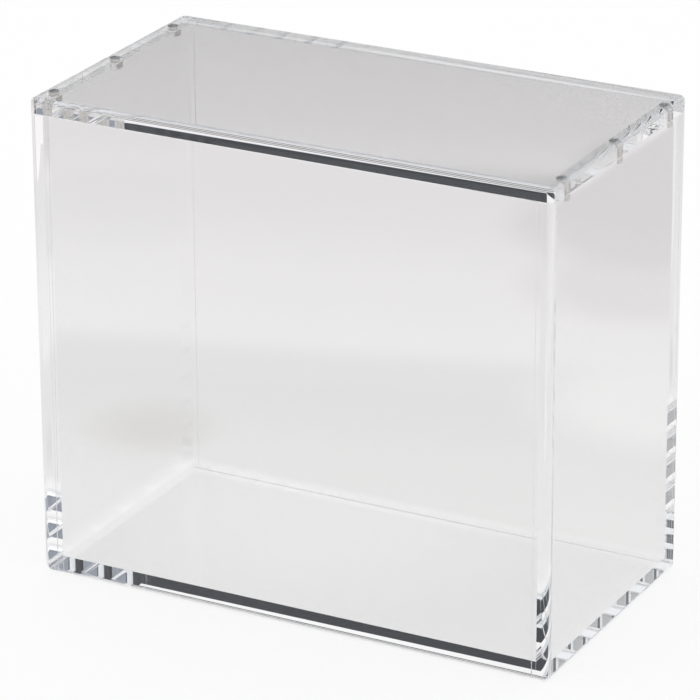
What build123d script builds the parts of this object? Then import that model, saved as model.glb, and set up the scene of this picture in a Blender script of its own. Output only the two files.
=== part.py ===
from build123d import *
import os

# A clear display case: five acrylic panels bonded into an open-topped body, and a loose lid held by magnets.
# Sizes are in millimetres. The origin is the middle of the footprint, on the surface that the case stands on.
# X runs along the width, -Y is the front and Z is up.

# Driving sizes
outer_width = 155.0
outer_depth = 82.5
body_height = 134.1
wall_thickness = 4.8
base_thickness = 4.3
lid_thickness = 4.35

# Edge finish of the polished panels
corner_round = 2.1  # upright outer corners of the body and the lid
foot_round = 2.0  # lowest outer edge of the body
lid_round = 1.5  # top outer edge of the lid
seam_break = 0.15  # sharp edges taken off on both sides of the seam between the body and the lid

# Magnets, three along each side of the seam, and the pockets that hold them
magnet_diameter = 3.0
magnet_edge_break = 0.2
wall_magnet_height = 2.0
lid_magnet_height = 2.5
magnet_end_inset = 9.4  # from the front or back face to the axis of an end magnet
pocket_clearance = 0.1  # between a magnet's side and its pocket, filled with adhesive
magnet_stand_out = 0.05  # each magnet stands this far out of its panel, so that the magnets meet first

# Sizes that follow
inner_width = outer_width - 2 * wall_thickness
inner_depth = outer_depth - 2 * wall_thickness
seam_height = body_height + magnet_stand_out
lid_underside = seam_height + magnet_stand_out
lid_top = lid_underside + lid_thickness
magnet_x = (outer_width - wall_thickness) / 2
end_magnet_y = outer_depth / 2 - magnet_end_inset
magnet_rows = {"front": -end_magnet_y, "middle": 0.0, "back": end_magnet_y}
sides = {"left": -1, "right": 1}
pocket_radius = magnet_diameter / 2 + pocket_clearance

os.makedirs("parts", exist_ok=True)


def save(piece, name):
    """Labels a finished piece and writes it to its own file."""
    piece.part.label = name
    export_step(piece.part, f"parts/{name}.step")


# Base panel: fills the foot of the body, between all four walls
with BuildPart() as base_panel:
    with BuildSketch():
        Rectangle(inner_width, inner_depth)
    extrude(amount=base_thickness)
save(base_panel, "base_panel")

# Side panels: they run the full depth, so their polished ends show in the front and back faces
with BuildPart() as right_panel:
    with BuildSketch() as side_plan:
        with Locations((magnet_x, 0)):
            Rectangle(wall_thickness, outer_depth)
        fillet(side_plan.vertices().group_by(Axis.X)[-1], corner_round)
    extrude(amount=body_height)
    # The innermost edge of each end meets the bonded front, back and base panels and stays sharp
    fillet(right_panel.edges().group_by(Axis.Z)[0].sort_by(Axis.X)[1:], foot_round)
    chamfer(right_panel.edges().group_by(Axis.Z)[-1].sort_by(Axis.X)[1:], seam_break)
    with Locations(*[(magnet_x, row_y, body_height) for row_y in magnet_rows.values()]):
        Hole(pocket_radius, depth=wall_magnet_height - magnet_stand_out)
save(right_panel, "right_panel")

with BuildPart() as left_panel:
    mirror(right_panel.part, about=Plane.YZ)
save(left_panel, "left_panel")

# Front and back panels: they stand between the side panels and reach down past the base to the foot
with BuildPart() as front_panel:
    with BuildSketch():
        with Locations((0, (wall_thickness - outer_depth) / 2)):
            Rectangle(inner_width, wall_thickness)
    extrude(amount=body_height)
    outer_edges = front_panel.edges().filter_by(Axis.X).group_by(Axis.Y)[0]
    fillet(outer_edges.sort_by(Axis.Z)[0], foot_round)
    outer_edges = front_panel.edges().filter_by(Axis.X).group_by(Axis.Y)[0]
    chamfer(outer_edges.sort_by(Axis.Z)[-1], seam_break)
save(front_panel, "front_panel")

with BuildPart() as back_panel:
    mirror(front_panel.part, about=Plane.XZ)
save(back_panel, "back_panel")

# Lid: one flat panel, flush with the body, with blind magnet pockets in its underside
with BuildPart() as lid_panel:
    with BuildSketch(Plane.XY.offset(lid_underside)):
        RectangleRounded(outer_width, outer_depth, corner_round)
    extrude(amount=lid_thickness)
    fillet(lid_panel.edges().group_by(Axis.Z)[-1], lid_round)
    chamfer(lid_panel.edges().group_by(Axis.Z)[0], seam_break)
    with BuildSketch(Plane.XY.offset(lid_underside)):
        for side in sides.values():
            with Locations(*[(side * magnet_x, row_y) for row_y in magnet_rows.values()]):
                Circle(pocket_radius)
    extrude(amount=lid_magnet_height - magnet_stand_out, mode=Mode.SUBTRACT)
save(lid_panel, "lid_panel")

# Magnets: nickel-plated discs, a short one in the wall and a taller one above it in the lid
magnet_sets = {
    "wall": (seam_height - wall_magnet_height, wall_magnet_height),
    "lid": (seam_height, lid_magnet_height),
}
for holder, (magnet_foot, magnet_height) in magnet_sets.items():
    for side_name, side in sides.items():
        for row_name, row_y in magnet_rows.items():
            with BuildPart() as magnet:
                with BuildSketch(Plane.XY.offset(magnet_foot)):
                    with Locations((side * magnet_x, row_y)):
                        Circle(magnet_diameter / 2)
                extrude(amount=magnet_height)
                chamfer(magnet.edges().filter_by(GeomType.CIRCLE), magnet_edge_break)
            save(magnet, f"{holder}_magnet_{side_name}_{row_name}")
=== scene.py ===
import math

import bmesh
import bpy
from bpy.props import FloatProperty, FloatVectorProperty, IntProperty, PointerProperty
from bpy.types import Operator, Panel, PropertyGroup
from mathutils import Matrix, Vector


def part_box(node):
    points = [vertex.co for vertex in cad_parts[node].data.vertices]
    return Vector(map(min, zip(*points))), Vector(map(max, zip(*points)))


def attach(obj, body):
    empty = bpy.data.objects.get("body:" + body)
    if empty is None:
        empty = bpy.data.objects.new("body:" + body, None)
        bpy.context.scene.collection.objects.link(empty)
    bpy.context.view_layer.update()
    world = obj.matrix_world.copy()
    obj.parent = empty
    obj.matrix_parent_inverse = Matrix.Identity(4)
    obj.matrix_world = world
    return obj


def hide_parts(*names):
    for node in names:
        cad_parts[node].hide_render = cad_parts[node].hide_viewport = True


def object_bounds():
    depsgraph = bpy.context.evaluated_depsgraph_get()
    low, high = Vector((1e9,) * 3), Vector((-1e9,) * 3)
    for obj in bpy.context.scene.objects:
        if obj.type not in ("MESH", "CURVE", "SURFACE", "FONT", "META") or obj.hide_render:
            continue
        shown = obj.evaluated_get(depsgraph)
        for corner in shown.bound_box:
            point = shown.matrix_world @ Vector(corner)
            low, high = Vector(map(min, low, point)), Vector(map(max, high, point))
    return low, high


bl_info = {
    "name": "Clear Display Case",
    "version": (1, 0, 0),
    "blender": (4, 5, 0),
    "location": "3D View > Sidebar > Display Case",
    "description": "Models a clear acrylic display case with a magnet-held lid, and a plain studio for it",
    "category": "Object",
}

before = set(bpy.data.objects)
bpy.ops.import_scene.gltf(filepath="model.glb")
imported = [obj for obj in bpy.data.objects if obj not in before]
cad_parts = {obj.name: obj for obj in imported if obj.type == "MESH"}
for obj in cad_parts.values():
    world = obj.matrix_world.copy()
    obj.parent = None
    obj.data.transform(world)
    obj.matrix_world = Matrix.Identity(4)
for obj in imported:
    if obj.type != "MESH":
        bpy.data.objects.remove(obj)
CAD_LOW, CAD_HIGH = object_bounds()

# Sizes that come straight from the solids
WALL_LOW, WALL_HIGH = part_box("right_panel")
BASE_LOW, BASE_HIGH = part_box("base_panel")
LID_LOW, LID_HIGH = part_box("lid_panel")

# Where the pieces stand, and the axes
SIDES = {"left": -1, "right": 1}
ENDS = {"front": -1, "back": 1}
ROWS = ("front", "middle", "back")
X, Y, Z = 0, 1, 2

# Lengths in metres that keep the modelling exact
SAME_PLACE = 2e-6  # corners closer than this share a place
HAIR = 1e-6  # room for rounding
CUTTER_RISE = 0.001  # how far a cutter stands out of the panel that it drills

# Faces round or across the small forms
CUTTER_SIDES = 64
MAGNET_SIDES = 48
MAGNET_EDGE_STEPS = 4
BREAK_STEPS = 2


# Settings


class CaseSizes(PropertyGroup):
    corner_round: FloatProperty(
        name="Corner round",
        description="Radius of the upright outer corners",
        default=0.0021,
        unit="LENGTH",
        subtype="DISTANCE",
    )
    foot_round: FloatProperty(
        name="Foot round",
        description="Radius of the lowest outer edge of the body",
        default=0.002,
        unit="LENGTH",
        subtype="DISTANCE",
    )
    lid_round: FloatProperty(
        name="Lid round",
        description="Radius of the top outer edge of the lid",
        default=0.0015,
        unit="LENGTH",
        subtype="DISTANCE",
    )
    seam_break: FloatProperty(
        name="Seam break",
        description="Size of the small edge taken off on both sides of the lid seam",
        default=0.00015,
        unit="LENGTH",
        subtype="DISTANCE",
    )
    joint_break: FloatProperty(
        name="Joint break",
        description="Size of the scraped edge where two bonded panels meet at the surface",
        default=0.00014,
        unit="LENGTH",
        subtype="DISTANCE",
    )
    pocket_radius: FloatProperty(
        name="Pocket radius",
        description="Radius of the blind holes that hold the magnets",
        default=0.0016,
        unit="LENGTH",
        subtype="DISTANCE",
    )
    glue_film: FloatProperty(
        name="Glue film",
        description="Room between a magnet and the end of its pocket",
        default=0.00006,
        unit="LENGTH",
        subtype="DISTANCE",
    )
    magnet_edge: FloatProperty(
        name="Magnet edge",
        description="Radius of the magnets' edges",
        default=0.0002,
        unit="LENGTH",
        subtype="DISTANCE",
    )
    round_steps: IntProperty(
        name="Round steps",
        description="Faces across each rounded edge",
        default=20,
        min=4,
        max=32,
    )


class CaseFinish(PropertyGroup):
    acrylic_colour: FloatVectorProperty(
        name="Acrylic colour",
        description="Tint that light takes on in a panel",
        default=(0.962, 0.960, 0.959),
        size=3,
        min=0.0,
        max=1.0,
        subtype="COLOR",
    )
    acrylic_index: FloatProperty(
        name="Refractive index",
        description="How strongly the acrylic bends light",
        default=1.5,
        min=1.3,
        max=1.7,
    )
    acrylic_haze: FloatProperty(
        name="Acrylic haze",
        description="Roughness of the faint handling smears on the polish",
        default=0.01,
        min=0.0,
        max=0.3,
        subtype="FACTOR",
    )
    pocket_roughness: FloatProperty(
        name="Pocket roughness",
        description="How frosted the milled magnet pockets are",
        default=0.35,
        min=0.0,
        max=1.0,
        subtype="FACTOR",
    )
    nickel_colour: FloatVectorProperty(
        name="Nickel colour",
        description="Colour of the plated magnets",
        default=(0.72, 0.70, 0.67),
        size=3,
        min=0.0,
        max=1.0,
        subtype="COLOR",
    )
    nickel_roughness: FloatProperty(
        name="Nickel roughness",
        description="How matt the plating is",
        default=0.09,
        min=0.0,
        max=1.0,
        subtype="FACTOR",
    )


class CaseStudio(PropertyGroup):
    lens: FloatProperty(
        name="Lens",
        description="Focal length of the camera in millimetres, on a sensor 36 mm wide",
        default=225.9,
    )
    azimuth: FloatProperty(
        name="Azimuth",
        description="How far the camera stands round to the right of the front",
        default=math.radians(27.97),
        unit="ROTATION",
        subtype="ANGLE",
    )
    elevation: FloatProperty(
        name="Elevation",
        description="How high the camera looks from",
        default=math.radians(22.08),
        unit="ROTATION",
        subtype="ANGLE",
    )
    roll: FloatProperty(
        name="Roll",
        description="Turn of the camera about its own axis",
        default=math.radians(-0.29),
        unit="ROTATION",
        subtype="ANGLE",
    )
    distance: FloatProperty(
        name="Distance",
        description="From the point that the camera looks at to the camera",
        default=1.1952,
        unit="LENGTH",
        subtype="DISTANCE",
    )
    # Brightness of the painted pool of light on the floor under the case
    painted_light_under: FloatProperty(
        name="Painted light under the case",
        description="How bright the floor is under the case, as a share of white",
        default=1.02,
        min=0.0,
        max=1.2,
        subtype="FACTOR",
    )
    paper_shade: FloatProperty(
        name="Paper shade",
        description="How bright the backdrop is where the case shows it, as a share of white",
        default=0.86,
        min=0.0,
        max=1.0,
        subtype="FACTOR",
    )
    paper_white: FloatProperty(
        name="Paper white",
        description="Brightness at which the floor and the backdrop show",
        default=1.0,
        min=0.0,
        max=1.0,
        subtype="FACTOR",
    )
    room_colour: FloatVectorProperty(
        name="Room colour",
        description="The studio walls above the backdrop",
        default=(0.86, 0.88, 0.92),
        size=3,
        min=0.0,
        max=1.0,
        subtype="COLOR",
    )


# Helpers


def deselect_all():
    """Leaves object mode's selection empty."""
    if bpy.context.object is not None and bpy.context.object.mode != "OBJECT":
        bpy.ops.object.mode_set(mode="OBJECT")
    bpy.ops.object.select_all(action="DESELECT")


def make_active(piece):
    """Selects one piece alone and makes it the active one."""
    deselect_all()
    piece.select_set(True)
    bpy.context.view_layer.objects.active = piece


def settle(piece):
    """Moves the piece's place and size into its mesh, so its object sits at the origin."""
    make_active(piece)
    bpy.ops.object.transform_apply(location=True, rotation=True, scale=True)


def add_block(name, low, high):
    """A block between two corners, with its place in its mesh."""
    deselect_all()
    low, high = Vector(low), Vector(high)
    bpy.ops.mesh.primitive_cube_add(size=1.0, location=(low + high) / 2)
    piece = bpy.context.object
    piece.name = name
    piece.data.name = name
    piece.scale = high - low
    settle(piece)
    piece.data.materials.append(acrylic())
    return piece


def add_rod(name, centre, bottom, top, radius, sides):
    """An upright rod between two heights, with its place in its mesh."""
    deselect_all()
    bpy.ops.mesh.primitive_cylinder_add(
        vertices=sides,
        radius=radius,
        depth=top - bottom,
        location=(centre[0], centre[1], (bottom + top) / 2),
    )
    piece = bpy.context.object
    piece.name = name
    piece.data.name = name
    settle(piece)
    return piece


def near(a, b):
    return abs(a - b) < SAME_PLACE


def both_at(axis, place, start, end):
    """Whether both ends of an edge lie at one place along an axis."""
    return near(start[axis], place) and near(end[axis], place)


def all_at(axis, place, corners):
    """Whether all the corners of a face lie at one place along an axis."""
    return all(near(corner[axis], place) for corner in corners)


def on_plane(corners, axis, reach):
    """Whether all the corners are on the plane at reach, or all are on the one opposite."""
    return any(all_at(axis, side * reach, corners) for side in (-1, 1))


def pick_edges(piece, wanted):
    """Opens the piece in edit mode with just the wanted edges selected."""
    make_active(piece)
    bpy.ops.object.mode_set(mode="EDIT")
    bpy.ops.mesh.select_mode(type="EDGE")
    bpy.ops.mesh.select_all(action="DESELECT")
    mesh = bmesh.from_edit_mesh(piece.data)
    found = 0
    for edge in mesh.edges:
        start, end = (v.co for v in edge.verts)
        if wanted(start, end):
            edge.select_set(True)
            found += 1
    bmesh.update_edit_mesh(piece.data)
    if not found:
        raise RuntimeError(f"no edges found on {piece.name}")


def pick_faces(piece, wanted):
    """Opens the piece in edit mode with just the wanted faces selected."""
    make_active(piece)
    bpy.ops.object.mode_set(mode="EDIT")
    bpy.ops.mesh.select_mode(type="FACE")
    bpy.ops.mesh.select_all(action="DESELECT")
    mesh = bmesh.from_edit_mesh(piece.data)
    for face in mesh.faces:
        if wanted([v.co for v in face.verts]):
            face.select_set(True)
    bmesh.update_edit_mesh(piece.data)


def round_edges(piece, wanted, radius, steps):
    """Rounds the wanted edges."""
    pick_edges(piece, wanted)
    bpy.ops.mesh.bevel(offset=radius, segments=steps, profile=0.5, affect="EDGES", clamp_overlap=False)
    bpy.ops.object.mode_set(mode="OBJECT")


def upright(start, end):
    return near(start.x, end.x) and near(start.y, end.y) and not near(start.z, end.z)


def drill(piece, centre, bottom, top, radius):
    """Drills a round pocket between two heights. Glue clears its wall, and its end stays frosted."""
    cutter = add_rod("cutter", centre, bottom, top, radius, CUTTER_SIDES)
    cutter.data.materials.append(bonded_joint())
    cutter.data.materials.append(milled_acrylic())
    for face in cutter.data.polygons:
        face.material_index = 1 if abs(face.normal.z) > 0.5 else 0
    make_active(piece)
    cut = piece.modifiers.new("pocket", "BOOLEAN")
    cut.operation = "DIFFERENCE"
    cut.solver = "EXACT"
    cut.material_mode = "TRANSFER"
    cut.object = cutter
    bpy.ops.object.modifier_apply(modifier=cut.name)
    bpy.data.objects.remove(cutter)


def polish(piece, angle=35.0, flat_area=6e-5):
    """Shades the piece smooth, with its large flat faces kept truly flat."""
    make_active(piece)
    bpy.ops.object.shade_smooth_by_angle(angle=math.radians(angle))
    bpy.ops.object.mode_set(mode="EDIT")
    bpy.ops.mesh.select_mode(type="FACE")
    bpy.ops.mesh.select_all(action="DESELECT")
    mesh = bmesh.from_edit_mesh(piece.data)
    for face in mesh.faces:
        if face.calc_area() > flat_area:
            face.select_set(True)
    bmesh.update_edit_mesh(piece.data)
    if any(face.select for face in mesh.faces):
        bpy.ops.mesh.mod_weighted_strength(set=True, face_strength="STRONG")
    bpy.ops.object.mode_set(mode="OBJECT")
    weigh = piece.modifiers.new("flats", "WEIGHTED_NORMAL")
    weigh.mode = "FACE_AREA"
    weigh.weight = 50
    weigh.keep_sharp = True
    weigh.use_face_influence = True
    bpy.ops.object.modifier_apply(modifier=weigh.name)


def cut_faces(piece, wanted, point, normal):
    """Cuts the wanted faces along a plane and keeps both parts."""
    pick_faces(piece, wanted)
    bpy.ops.mesh.bisect(plane_co=point, plane_no=normal, use_fill=False, threshold=1e-7)
    bpy.ops.object.mode_set(mode="OBJECT")


def bond_faces(piece, is_bond):
    """Gives the bonded faces of an acrylic piece the joint's own clear finish."""
    piece.data.materials.append(bonded_joint())
    joint = len(piece.data.materials) - 1
    for face in piece.data.polygons:
        corners = [piece.data.vertices[i].co for i in face.vertices]
        if is_bond(corners):
            face.material_index = joint


def frost_joint_lines(piece, reach):
    """Leaves the scraped edges of the upright joints unpolished, which draws them as fine lines."""
    piece.data.materials.append(milled_acrylic())
    frosted = len(piece.data.materials) - 1
    for face in piece.data.polygons:
        corners = [piece.data.vertices[i].co for i in face.vertices]
        narrow = all((c - corners[0]).xy.length < 2 * reach for c in corners)
        on_line = all(
            abs(abs(c.x) - inner_x()) < reach and abs(abs(c.y) - WALL_HIGH.y) < reach for c in corners
        )
        if narrow and on_line:
            face.material_index = frosted


def stand_in(piece, node, body):
    """The piece takes the place of a solid and rides on its body."""
    deselect_all()
    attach(piece, body)
    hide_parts(node)


# Materials


# Shares of a set roughness or colour that an uneven surface reaches
MILLED_SPREAD = (0.7, 1.3)
PLATE_SPREAD = (0.7, 1.4)
PLATE_DARKEST = 0.86


def new_material(name):
    """A material with one shader. If it is there already, the tree and the shader are None."""
    material = bpy.data.materials.get(name)
    if material is not None:
        return material, None, None
    material = bpy.data.materials.new(name)
    material.use_nodes = True
    tree = material.node_tree
    tree.nodes.clear()
    output = tree.nodes.new("ShaderNodeOutputMaterial")
    shader = tree.nodes.new("ShaderNodeBsdfPrincipled")
    tree.links.new(shader.outputs["BSDF"], output.inputs["Surface"])
    return material, tree, shader


def uneven(tree, scale, detail, roughness=0.5):
    """Unevenness that stays with the piece, as a share from 0 to 1."""
    place = tree.nodes.new("ShaderNodeTexCoord")
    noise = tree.nodes.new("ShaderNodeTexNoise")
    noise.inputs["Scale"].default_value = scale
    noise.inputs["Detail"].default_value = detail
    noise.inputs["Roughness"].default_value = roughness
    tree.links.new(place.outputs["Object"], noise.inputs["Vector"])
    return noise.outputs["Fac"]


def vary_roughness(tree, shader, share, least, most, start=0.0, end=1.0):
    """Takes the roughness from least to most while the share goes from start to end."""
    spread = tree.nodes.new("ShaderNodeMapRange")
    spread.inputs["From Min"].default_value = start
    spread.inputs["From Max"].default_value = end
    spread.inputs["To Min"].default_value = least
    spread.inputs["To Max"].default_value = most
    tree.links.new(share, spread.inputs["Value"])
    tree.links.new(spread.outputs["Result"], shader.inputs["Roughness"])


def make_clear(shader):
    """Gives the shader the tint and the index of acrylic."""
    finish = bpy.context.scene.case_finish
    shader.inputs["Base Color"].default_value = (*finish.acrylic_colour, 1.0)
    shader.inputs["Transmission Weight"].default_value = 1.0
    shader.inputs["IOR"].default_value = finish.acrylic_index


def acrylic():
    """Polished cast acrylic, with faint handling smears."""
    finish = bpy.context.scene.case_finish
    material, tree, shader = new_material("clear_acrylic_polished")
    if tree is not None:
        make_clear(shader)
        smears = uneven(tree, scale=34.0, detail=6.0, roughness=0.62)
        vary_roughness(tree, shader, smears, 0.0, finish.acrylic_haze, start=0.50, end=0.80)
    return material


def milled_acrylic():
    """Acrylic as the cutter leaves it: frosted, with fine marks."""
    finish = bpy.context.scene.case_finish
    material, tree, shader = new_material("clear_acrylic_milled")
    if tree is not None:
        make_clear(shader)
        least, most = (finish.pocket_roughness * share for share in MILLED_SPREAD)
        marks = uneven(tree, scale=4200.0, detail=3.0)
        vary_roughness(tree, shader, marks, least, most)
    return material


def bonded_joint():
    """A bonded joint: light crosses from one panel to the next without bending."""
    material, tree, shader = new_material("bonded_joint")
    if tree is not None:
        shader.inputs["Base Color"].default_value = (1.0, 1.0, 1.0, 1.0)
        shader.inputs["Alpha"].default_value = 0.0
    return material


def nickel():
    """Nickel plate, a little uneven."""
    finish = bpy.context.scene.case_finish
    material, tree, shader = new_material("nickel_plate_bright")
    if tree is None:
        return material
    shader.inputs["Metallic"].default_value = 1.0
    grain = uneven(tree, scale=2600.0, detail=4.0)
    darkest = tuple(channel * PLATE_DARKEST for channel in finish.nickel_colour)
    tone = Shades(tree).lay(grain, tuple(finish.nickel_colour), darkest)
    tree.links.new(tone, shader.inputs["Base Color"])
    least, most = (finish.nickel_roughness * share for share in PLATE_SPREAD)
    vary_roughness(tree, shader, grain, least, most)
    return material


# Panels


def inner_x():
    """Half of the width inside the case."""
    return WALL_LOW.x


def inner_y():
    """Half of the depth inside the case."""
    return BASE_HIGH.y


class CASE_OT_base_panel(Operator):
    """Model the base panel, bonded between all four walls"""

    bl_idname = "case.base_panel"
    bl_label = "Base panel"

    def execute(self, context):
        piece = add_block("base_plate", BASE_LOW, BASE_HIGH)

        def bond(corners):
            return on_plane(corners, X, inner_x()) or on_plane(corners, Y, inner_y())

        bond_faces(piece, bond)
        polish(piece)
        stand_in(piece, "base_panel", "case_body")
        return {"FINISHED"}


def bonded_side(corners):
    """The parts of a side panel's inner face that the front, back and base panels cover."""
    if not on_plane(corners, X, inner_x()):
        return False
    middle = sum(corners, Vector()) / len(corners)
    return abs(middle.y) > inner_y() or middle.z < BASE_HIGH.z


class CASE_OT_side_panels(Operator):
    """Model the side panels, with rounded outer corners, a rounded foot and three magnet pockets each"""

    bl_idname = "case.side_panels"
    bl_label = "Side panels"

    def execute(self, context):
        sizes = context.scene.case_sizes
        for name, side in SIDES.items():
            reach = side * WALL_HIGH.x
            inside = side * inner_x()
            low = (min(reach, inside), WALL_LOW.y, WALL_LOW.z)
            high = (max(reach, inside), WALL_HIGH.y, WALL_HIGH.z)
            piece = add_block(f"{name}_wall", low, high)
            round_edges(
                piece,
                lambda a, b: upright(a, b) and near(a.x, reach),
                sizes.corner_round,
                sizes.round_steps,
            )
            round_edges(
                piece,
                lambda a, b: both_at(Z, WALL_LOW.z, a, b) and not both_at(X, inside, a, b),
                sizes.foot_round,
                sizes.round_steps,
            )
            round_edges(
                piece,
                lambda a, b: both_at(X, inside, a, b)
                and not near(a.z, b.z)
                and abs(a.y) > inner_y()
                and abs(b.y) > inner_y(),
                sizes.joint_break,
                BREAK_STEPS,
            )
            round_edges(
                piece,
                lambda a, b: both_at(Z, WALL_HIGH.z, a, b)
                and not (near(abs(a.x), inner_x()) or near(abs(b.x), inner_x())),
                sizes.seam_break,
                BREAK_STEPS,
            )
            for row in ROWS:
                magnet_low, magnet_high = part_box(f"wall_magnet_{name}_{row}")
                centre = (magnet_low + magnet_high) / 2
                pocket_end = magnet_low.z - sizes.glue_film
                drill(piece, centre, pocket_end, WALL_HIGH.z + CUTTER_RISE, sizes.pocket_radius)

            def on_inside(corners):
                return all_at(X, inside, corners)

            cut_faces(piece, on_inside, (0, inner_y(), 0), (0, 1, 0))
            cut_faces(piece, on_inside, (0, -inner_y(), 0), (0, 1, 0))
            cut_faces(piece, on_inside, (0, 0, BASE_HIGH.z), (0, 0, 1))
            bond_faces(piece, bonded_side)
            frost_joint_lines(piece, sizes.joint_break + HAIR)
            polish(piece)
            stand_in(piece, f"{name}_panel", "case_body")
        return {"FINISHED"}


class CASE_OT_end_panels(Operator):
    """Model the front and back panels, bonded between the side panels"""

    bl_idname = "case.end_panels"
    bl_label = "Front and back panels"

    def execute(self, context):
        sizes = context.scene.case_sizes
        for name, side in ENDS.items():
            reach = side * WALL_HIGH.y
            inside = side * inner_y()
            low = (-inner_x(), min(reach, inside), WALL_LOW.z)
            high = (inner_x(), max(reach, inside), WALL_HIGH.z)
            piece = add_block(f"{name}_wall", low, high)
            round_edges(
                piece,
                lambda a, b: both_at(Z, WALL_LOW.z, a, b) and both_at(Y, reach, a, b),
                sizes.foot_round,
                sizes.round_steps,
            )
            round_edges(
                piece,
                lambda a, b: near(abs(a.x), inner_x()) and near(a.x, b.x) and not near(a.z, b.z),
                sizes.joint_break,
                BREAK_STEPS,
            )
            round_edges(
                piece,
                lambda a, b: both_at(Z, WALL_HIGH.z, a, b) and both_at(Y, reach, a, b),
                sizes.seam_break,
                BREAK_STEPS,
            )

            def on_inside(corners):
                return all_at(Y, inside, corners)

            cut_faces(piece, on_inside, (0, 0, BASE_HIGH.z), (0, 0, 1))

            def bond(corners):
                if on_plane(corners, X, inner_x()):
                    return True
                return on_inside(corners) and all(c.z < BASE_HIGH.z + HAIR for c in corners)

            bond_faces(piece, bond)
            frost_joint_lines(piece, sizes.joint_break + HAIR)
            polish(piece)
            stand_in(piece, f"{name}_panel", "case_body")
        return {"FINISHED"}


class CASE_OT_lid(Operator):
    """Model the lid, with rounded corners, a rounded top edge and six magnet pockets in its underside"""

    bl_idname = "case.lid"
    bl_label = "Lid"

    def execute(self, context):
        sizes = context.scene.case_sizes
        piece = add_block("lid_plate", LID_LOW, LID_HIGH)
        round_edges(piece, upright, sizes.corner_round, sizes.round_steps)
        round_edges(
            piece,
            lambda a, b: both_at(Z, LID_HIGH.z, a, b),
            sizes.lid_round,
            sizes.round_steps,
        )
        round_edges(
            piece,
            lambda a, b: both_at(Z, LID_LOW.z, a, b),
            sizes.seam_break,
            BREAK_STEPS,
        )
        for side_name in SIDES:
            for row in ROWS:
                magnet_low, magnet_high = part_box(f"lid_magnet_{side_name}_{row}")
                centre = (magnet_low + magnet_high) / 2
                pocket_end = magnet_high.z + sizes.glue_film
                drill(piece, centre, LID_LOW.z - CUTTER_RISE, pocket_end, sizes.pocket_radius)
        polish(piece)
        stand_in(piece, "lid_panel", "lid")
        return {"FINISHED"}


class CASE_OT_magnets(Operator):
    """Model the twelve magnets, plated discs in the walls and in the lid"""

    bl_idname = "case.magnets"
    bl_label = "Magnets"

    def execute(self, context):
        sizes = context.scene.case_sizes
        for holder, body in (("wall", "case_body"), ("lid", "lid")):
            pattern = None
            for side_name in SIDES:
                for row in ROWS:
                    node = f"{holder}_magnet_{side_name}_{row}"
                    low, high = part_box(node)
                    centre = (low + high) / 2
                    if pattern is None:
                        radius = (high.x - low.x) / 2
                        pattern = add_rod(node, (0, 0), low.z, high.z, radius, MAGNET_SIDES)
                        round_edges(
                            pattern,
                            lambda a, b: near(a.z, b.z),
                            sizes.magnet_edge,
                            MAGNET_EDGE_STEPS,
                        )
                        pattern.data.materials.clear()
                        pattern.data.materials.append(nickel())
                        polish(pattern, angle=30.0)
                    piece = pattern.copy()
                    piece.data = pattern.data.copy()
                    piece.name = f"{holder}_disc_{side_name}_{row}"
                    piece.data.name = piece.name
                    context.scene.collection.objects.link(piece)
                    piece.location = (centre.x, centre.y, 0)
                    settle(piece)
                    stand_in(piece, node, body)
            bpy.data.objects.remove(pattern)
        return {"FINISHED"}


# Stage


# The paper as it is seen in and through the case has painted light and shade in soft waves.
# Each is given by its distance in metres behind the middle of the case, and its brightness
PAINTED_LIGHT_WAVES = (
    (0.000, 0.86),
    (0.045, 0.84),
    (0.100, 0.81),
    (0.125, 0.83),
    (0.147, 0.91),
    (0.190, 0.895),
    (0.290, 0.82),
    (0.318, 1.04),
    (0.360, 0.99),
    (0.450, 0.945),
)
WAVES_REACH = 0.5  # how far behind the case they are laid
WAVES_SLANT = -0.3  # how far the waves come forward for each metre to the right
WAVES_MIDDLE = -0.1  # how far to the right of the middle their distances hold as listed
WAVES_WARMTH = 0.008  # share by which red rises and green falls in the far waves
WARMTH_FULL = 0.5  # share of the reach from which the warmth is full
# The front face shows the paper up to this line, where the lid's front edge comes in front of it
LAST_WAVE = 0.29
FRONT_LINE = (0.297, 0.311)
# The right side shows it from these lines on, and there it has a darker painted shade
SIDE_LINE = (-0.0815, -0.0765)
SIDE_LINE_START = (0.26, 0.30)
SIDE_PAINTED_SHADE = (0.715, 0.70, 0.705)

# Painted soft light and shade on it: name, middle, how far it stays whole, how far it fades, colour
PAINTED_PAPER_SHADES = (
    ("side shade", (0.230, 0.280), 0.060, 0.170, (0.80, 0.785, 0.79)),
    ("front shade", (-0.150, -0.360), 0.060, 0.280, (0.70, 0.685, 0.69)),
    ("back shade, near end", (-0.024, 0.237), 0.020, 0.045, (0.79, 0.775, 0.78)),
    ("back shade, far end", (-0.040, 0.340), 0.028, 0.055, (0.715, 0.70, 0.705)),
    ("back shade, middle", (-0.042, 0.290), 0.028, 0.055, (0.715, 0.70, 0.705)),
    ("back shade, right end", (0.062, 0.225), 0.028, 0.050, (0.80, 0.80, 0.80)),
    ("corner shade", (-0.104, 0.063), 0.004, 0.030, (0.730, 0.725, 0.715)),
    ("back light", (0.025, 0.150), 0.020, 0.050, (0.93, 0.93, 0.93)),
)
# A painted pool of light on the paper under the case
UNDER_PAINTED_LIGHT = ("light from behind", (-0.025, 0.032), 0.020, 0.085, (1.10, 1.10, 1.10))
UNDER_EDGE = (0.012, -0.002)  # how far outside the foot the painted light under the case starts, and is whole
PAPER_COLOUR = (0.96, 0.96, 0.96)
CAMERA_GLOW = 0.85  # share of its own glow in what the camera sees, the rest being its lit surface
FLOOR_RADIUS = 2.2
FLOOR_DROP = 0.0001  # room between the foot and the floor

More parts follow.
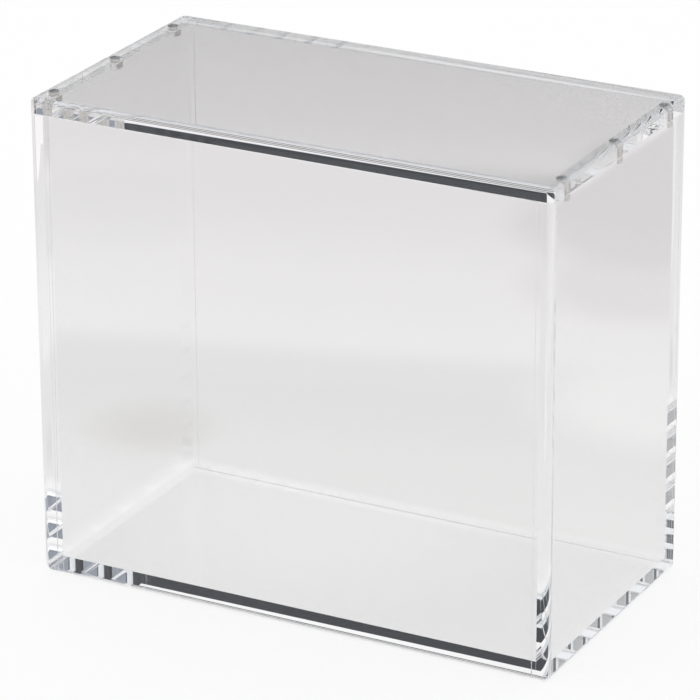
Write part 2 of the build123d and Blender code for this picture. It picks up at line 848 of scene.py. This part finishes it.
# Soft light and dark in the room above the paper, listed the same way but in degrees.
# The middle is how far it is turned from +Y towards +X, and how high it is
ROOM_SHADES = (
    ("wall behind the camera", (-154.0, 16.0), 10.0, 22.0, (0.36, 0.37, 0.38)),
    ("right wall", (98.0, 37.0), 4.0, 12.0, (0.30, 0.31, 0.34)),
    ("door", (34.0, 26.0), 11.0, 22.0, (0.27, 0.30, 0.35)),
    ("door gap", (42.0, 28.0), 4.0, 9.0, (0.07, 0.078, 0.095)),
    ("dark wall", (-36.0, 28.0), 26.0, 40.0, (0.03, 0.034, 0.042)),
)
CEILING_LIGHT = ("key", (102.0, 56.0), 16.0, 24.0, (1.5, 1.5, 1.5))
# Level bands in the room: where each starts and is full, as the sine of the angle above the floor
CEILING_BANDS = (
    ((0.66, 0.69), (0.20, 0.30, 0.48)),
    ((0.69, 0.73), (0.88, 0.90, 0.94)),
)
BACKDROP_BAND = (0.21, 0.13)

# The point that the camera looks at, in metres, and how far it is moved across and up the picture
AIM = (0.0, 0.0, 0.06913)
AIM_ACROSS = -0.00238
AIM_UP = -0.003326

# Light turns back and forth many times inside the clear panels, and crosses many bonded joints
LIGHT_BOUNCES = 512
JOINT_CROSSINGS = 1024


class Shades:
    """Lays soft shades over each other in a node tree."""

    # Places of the colour sockets on a mix node
    BELOW, ABOVE, MIXED = 6, 7, 2
    # Steps on vectors that give a number
    GIVE_NUMBER = ("DOT_PRODUCT", "DISTANCE")

    def __init__(self, tree):
        self.nodes, self.links = tree.nodes, tree.links

    def fill(self, socket, value):
        """Gives a socket its value, which is a number, a tuple or another socket."""
        if isinstance(value, bpy.types.NodeSocket):
            self.links.new(value, socket)
        else:
            socket.default_value = value

    def numbers(self, operation, first, second):
        """One step of sums on two numbers."""
        step = self.nodes.new("ShaderNodeMath")
        step.operation = operation
        self.fill(step.inputs[0], first)
        self.fill(step.inputs[1], second)
        return step.outputs["Value"]

    def vectors(self, operation, *values, label=""):
        """One step of sums on one or two vectors."""
        step = self.nodes.new("ShaderNodeVectorMath")
        step.operation = operation
        step.label = label
        for socket, value in zip(step.inputs, values):
            self.fill(socket, value)
        return step.outputs["Value" if operation in self.GIVE_NUMBER else "Vector"]

    def ramp(self, value, start, end):
        """From 0 at start to 1 at end, smoothly."""
        step = self.nodes.new("ShaderNodeMapRange")
        step.interpolation_type = "SMOOTHSTEP"
        step.inputs["From Min"].default_value = start
        step.inputs["From Max"].default_value = end
        self.links.new(value, step.inputs["Value"])
        return step.outputs["Result"]

    def lay(self, share, below, above):
        """Lays a colour over the one below, as far as share says. Each colour is a tuple or a socket."""
        mix = self.nodes.new("ShaderNodeMix")
        mix.data_type = "RGBA"
        self.fill(mix.inputs["Factor"], share)
        for place, colour in ((self.BELOW, below), (self.ABOVE, above)):
            self.fill(mix.inputs[place], (*colour, 1.0) if isinstance(colour, tuple) else colour)
        return mix.outputs[self.MIXED]

    def in_the_case(self, path):
        """1 for what is mirrored in the case or seen through it."""
        share = self.numbers("ADD", path.outputs["Is Glossy Ray"], path.outputs["Is Transmission Ray"])
        return self.numbers("MINIMUM", share, 1.0)


def lay_in_room(shades, direction, below, patch):
    """Lays a soft round patch of the room over what is below it."""
    name, middle, inner, outer, colour = patch
    turn, rise = (math.radians(angle) for angle in middle)
    towards = (math.sin(turn) * math.cos(rise), math.cos(turn) * math.cos(rise), math.sin(rise))
    close = shades.vectors("DOT_PRODUCT", direction, towards, label=name)
    share = shades.ramp(close, math.cos(math.radians(outer)), math.cos(math.radians(inner)))
    return shades.lay(share, below, colour)


def lay_on_floor(shades, place, below, patch):
    """Lays a soft round patch of the floor's painted light and shade over what is below it."""
    name, middle, inner, outer, colour = patch
    away = shades.vectors("DISTANCE", place, (*middle, 0.0), label=name)
    return shades.lay(shades.ramp(away, outer, inner), below, colour)


def studio_world(studio):
    """The studio above the floor: a paper sweep, light walls with dark stretches and a large soft key."""
    world = bpy.data.worlds.new("studio")
    bpy.context.scene.world = world
    world.use_nodes = True
    tree = world.node_tree
    tree.nodes.clear()
    nodes, links = tree.nodes, tree.links
    shades = Shades(tree)
    direction = nodes.new("ShaderNodeTexCoord").outputs["Generated"]
    axes = nodes.new("ShaderNodeSeparateXYZ")
    links.new(direction, axes.inputs["Vector"])
    height = axes.outputs["Z"]

    room = tuple(studio.room_colour)
    for patch in ROOM_SHADES:
        room = lay_in_room(shades, direction, room, patch)
    for band, colour in CEILING_BANDS:
        room = shades.lay(shades.ramp(height, *band), room, colour)
    room = lay_in_room(shades, direction, room, CEILING_LIGHT)
    backdrop = (studio.paper_white * studio.paper_shade,) * 3
    seen = shades.lay(shades.ramp(height, *BACKDROP_BAND), room, backdrop)

    path = nodes.new("ShaderNodeLightPath")
    white = (studio.paper_white,) * 3
    background = nodes.new("ShaderNodeBackground")
    background.inputs["Strength"].default_value = 1.0
    links.new(shades.lay(shades.in_the_case(path), white, seen), background.inputs["Color"])
    output = nodes.new("ShaderNodeOutputWorld")
    links.new(background.outputs["Background"], output.inputs["Surface"])


def painted_wave_colours(waves):
    """Sets the stops of the paper's painted light and shade waves on a colour ramp, slightly warmer further
    behind the case.
    """
    stops = waves.color_ramp.elements
    waves.color_ramp.interpolation = "EASE"
    for number, (behind, tone) in enumerate(PAINTED_LIGHT_WAVES):
        if number < len(stops):
            stop = stops[number]
            stop.position = behind / WAVES_REACH
        else:
            stop = stops.new(behind / WAVES_REACH)
        warm = WAVES_WARMTH * min(1.0, behind / WAVES_REACH / WARMTH_FULL)
        stop.color = (tone * (1.0 + warm), tone * (1.0 - warm), tone, 1.0)


def painted_light_behind(shades, place):
    """The paper as it is seen in and through the case: painted shade round it, painted light and shade in
    soft waves behind it.
    """
    spot = shades.nodes.new("ShaderNodeSeparateXYZ")
    shades.links.new(place, spot.inputs["Vector"])
    along = shades.vectors("DOT_PRODUCT", place, (WAVES_SLANT / WAVES_REACH, 1.0 / WAVES_REACH, 0.0))
    along = shades.numbers("ADD", along, -WAVES_SLANT * WAVES_MIDDLE / WAVES_REACH)
    limit = shades.nodes.new("ShaderNodeMapRange")
    limit.inputs["From Min"].default_value, limit.inputs["From Max"].default_value = FRONT_LINE
    limit.inputs["To Min"].default_value = LAST_WAVE / WAVES_REACH
    limit.inputs["To Max"].default_value = 1.0
    shades.links.new(spot.outputs["Y"], limit.inputs["Value"])
    waves = shades.nodes.new("ShaderNodeValToRGB")
    painted_wave_colours(waves)
    shades.links.new(shades.numbers("MINIMUM", along, limit.outputs["Result"]), waves.inputs["Fac"])
    seen = waves.outputs["Color"]
    for patch in PAINTED_PAPER_SHADES:
        seen = lay_on_floor(shades, place, seen, patch)
    past_side = shades.ramp(spot.outputs["X"], *SIDE_LINE)
    past_start = shades.ramp(spot.outputs["Y"], *SIDE_LINE_START)
    return shades.lay(shades.numbers("MINIMUM", past_side, past_start), seen, SIDE_PAINTED_SHADE)


def painted_light_under(shades, place, seen, studio):
    """Lays the painted pool of light under the case, the brightest paper, over the rest."""
    past_foot = shades.vectors("SUBTRACT", shades.vectors("ABSOLUTE", place), (CAD_HIGH.x, CAD_HIGH.y, 0.0))
    axes = shades.nodes.new("ShaderNodeSeparateXYZ")
    shades.links.new(past_foot, axes.inputs["Vector"])
    outside = shades.numbers("MAXIMUM", axes.outputs["X"], axes.outputs["Y"])
    under = lay_on_floor(shades, place, (studio.painted_light_under,) * 3, UNDER_PAINTED_LIGHT)
    return shades.lay(shades.ramp(outside, *UNDER_EDGE), seen, under)


def paper_material(studio):
    """White paper: it shows white, keeps the soft shadow of what stands on it, and in and through the case
    shows painted light and shade.
    """
    material = bpy.data.materials.new("white_paper")
    material.use_nodes = True
    tree = material.node_tree
    nodes, links = tree.nodes, tree.links
    nodes.clear()
    shades = Shades(tree)
    path = nodes.new("ShaderNodeLightPath")
    in_the_case = shades.in_the_case(path)
    place = nodes.new("ShaderNodeTexCoord").outputs["Object"]
    seen = painted_light_under(shades, place, painted_light_behind(shades, place), studio)
    glow = nodes.new("ShaderNodeEmission")
    glow.inputs["Strength"].default_value = 1.0
    links.new(shades.lay(in_the_case, (studio.paper_white,) * 3, seen), glow.inputs["Color"])
    paper = nodes.new("ShaderNodeBsdfDiffuse")
    paper.inputs["Color"].default_value = (*PAPER_COLOUR, 1.0)

    # The share of its own glow: most of it to the camera, all of it in and through the case, where the glow
    # carries the painted light and shade
    share = shades.numbers("MULTIPLY", path.outputs["Is Camera Ray"], CAMERA_GLOW)
    share = shades.numbers("MINIMUM", shades.numbers("ADD", share, in_the_case), 1.0)
    mix = nodes.new("ShaderNodeMixShader")
    links.new(share, mix.inputs["Fac"])
    links.new(paper.outputs["BSDF"], mix.inputs[1])
    links.new(glow.outputs["Emission"], mix.inputs[2])
    output = nodes.new("ShaderNodeOutputMaterial")
    links.new(mix.outputs["Shader"], output.inputs["Surface"])
    return material


def lay_floor(studio):
    """A wide round floor of paper."""
    deselect_all()
    bpy.ops.mesh.primitive_circle_add(
        vertices=96,
        radius=FLOOR_RADIUS,
        fill_type="NGON",
        location=(0, 0, -FLOOR_DROP),
    )
    floor = bpy.context.object
    floor.name = "paper_floor"
    settle(floor)
    floor.data.materials.append(paper_material(studio))


def set_camera(scene, studio):
    """Sets the camera at the photograph's viewing angle."""
    turn, rise, roll = studio.azimuth, studio.elevation, studio.roll
    back = Vector((math.sin(turn) * math.cos(rise), -math.cos(turn) * math.cos(rise), math.sin(rise)))
    level = Vector((math.cos(turn), math.sin(turn), 0.0))
    over = back.cross(level)
    right = math.cos(roll) * level + math.sin(roll) * over
    up = -math.sin(roll) * level + math.cos(roll) * over
    aim = Vector(AIM) + right * AIM_ACROSS + up * AIM_UP
    eye = aim + back * studio.distance
    lens = bpy.data.cameras.new("camera")
    lens.sensor_width = 36.0
    lens.lens = studio.lens
    lens.clip_start = 0.01
    lens.clip_end = 20.0
    camera = bpy.data.objects.new("camera", lens)
    camera.matrix_world = Matrix(
        (
            (right.x, up.x, back.x, eye.x),
            (right.y, up.y, back.y, eye.y),
            (right.z, up.z, back.z, eye.z),
            (0.0, 0.0, 0.0, 1.0),
        )
    )
    scene.collection.objects.link(camera)
    scene.camera = camera


class CASE_OT_stage(Operator):
    """Lay the paper floor, light the studio and set the camera"""

    bl_idname = "case.stage"
    bl_label = "Stage"

    def execute(self, context):
        scene = context.scene
        studio = scene.case_studio
        lay_floor(studio)
        studio_world(studio)
        set_camera(scene, studio)
        scene.view_settings.view_transform = "Standard"
        scene.cycles.max_bounces = LIGHT_BOUNCES
        scene.cycles.transmission_bounces = LIGHT_BOUNCES
        scene.cycles.glossy_bounces = LIGHT_BOUNCES
        scene.cycles.transparent_max_bounces = JOINT_CROSSINGS
        scene.cycles.caustics_reflective = True
        scene.cycles.caustics_refractive = True
        scene.cycles.denoising_input_passes = "RGB"
        return {"FINISHED"}


# Sidebar


class CASE_PT_sidebar(Panel):
    """Lists the sizes, the finish and the pieces of the case"""

    bl_idname = "CASE_PT_sidebar"
    bl_label = "Display Case"
    bl_space_type = "VIEW_3D"
    bl_region_type = "UI"
    bl_category = "Display Case"

    def draw(self, context):
        layout = self.layout
        for group in (context.scene.case_sizes, context.scene.case_finish, context.scene.case_studio):
            box = layout.box()
            for name in group.__annotations__:
                box.prop(group, name)
        column = layout.column(align=True)
        for operator in OPERATORS:
            column.operator(operator.bl_idname)


OPERATORS = (
    CASE_OT_stage,
    CASE_OT_base_panel,
    CASE_OT_side_panels,
    CASE_OT_end_panels,
    CASE_OT_lid,
    CASE_OT_magnets,
)
CLASSES = (CaseSizes, CaseFinish, CaseStudio, *OPERATORS, CASE_PT_sidebar)


def register():
    for item in CLASSES:
        bpy.utils.register_class(item)
    bpy.types.Scene.case_sizes = PointerProperty(type=CaseSizes)
    bpy.types.Scene.case_finish = PointerProperty(type=CaseFinish)
    bpy.types.Scene.case_studio = PointerProperty(type=CaseStudio)


def unregister():
    del bpy.types.Scene.case_studio
    del bpy.types.Scene.case_finish
    del bpy.types.Scene.case_sizes
    for item in reversed(CLASSES):
        bpy.utils.unregister_class(item)


def main():
    register()
    bpy.ops.case.stage()
    bpy.ops.case.base_panel()
    bpy.ops.case.side_panels()
    bpy.ops.case.end_panels()
    bpy.ops.case.lid()
    bpy.ops.case.magnets()
    deselect_all()


if __name__ == "__main__":
    main()
